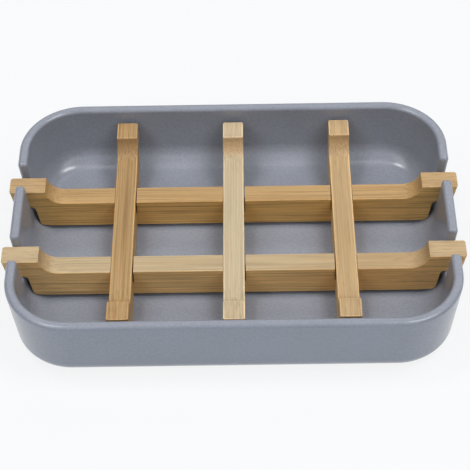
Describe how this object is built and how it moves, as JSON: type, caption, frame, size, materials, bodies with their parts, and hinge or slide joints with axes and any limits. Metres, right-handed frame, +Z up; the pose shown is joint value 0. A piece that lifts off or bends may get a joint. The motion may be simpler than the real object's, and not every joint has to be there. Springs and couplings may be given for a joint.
{
  "type": "soap dish",
  "caption": "Soap dish: a rounded rectangular moulded tray whose end walls have notches that hold a lift-out rack of crossed wooden bars with raised ends.",
  "frame": {"origin": "middle of the tray's underside, on the surface it stands on", "axes": "+X along the tray and the rails, +Y from the front long side to the rear one, +Z up"},
  "size_m": [0.137, 0.091, 0.0237],
  "materials": {
    "tray_plastic": "satin",
    "rail_bamboo": "sanded and thinly oiled",
    "left_slat_bamboo": "sanded and thinly oiled",
    "middle_slat_bamboo": "sanded and thinly oiled",
    "right_slat_bamboo": "sanded and thinly oiled"
  },
  "bodies": {
    "tray": {"tray": "tray_plastic"},
    "rack": {"rear_rail": "rail_bamboo", "front_rail": "rail_bamboo", "left_slat": "left_slat_bamboo", "middle_slat": "middle_slat_bamboo", "right_slat": "right_slat_bamboo"}
  },
  "joints": [
    {"name": "rack_lift", "type": "slide", "parent": "tray", "child": "rack", "axis": [0, 0, 1], "range_m": [0, 0.03]}
  ]
}
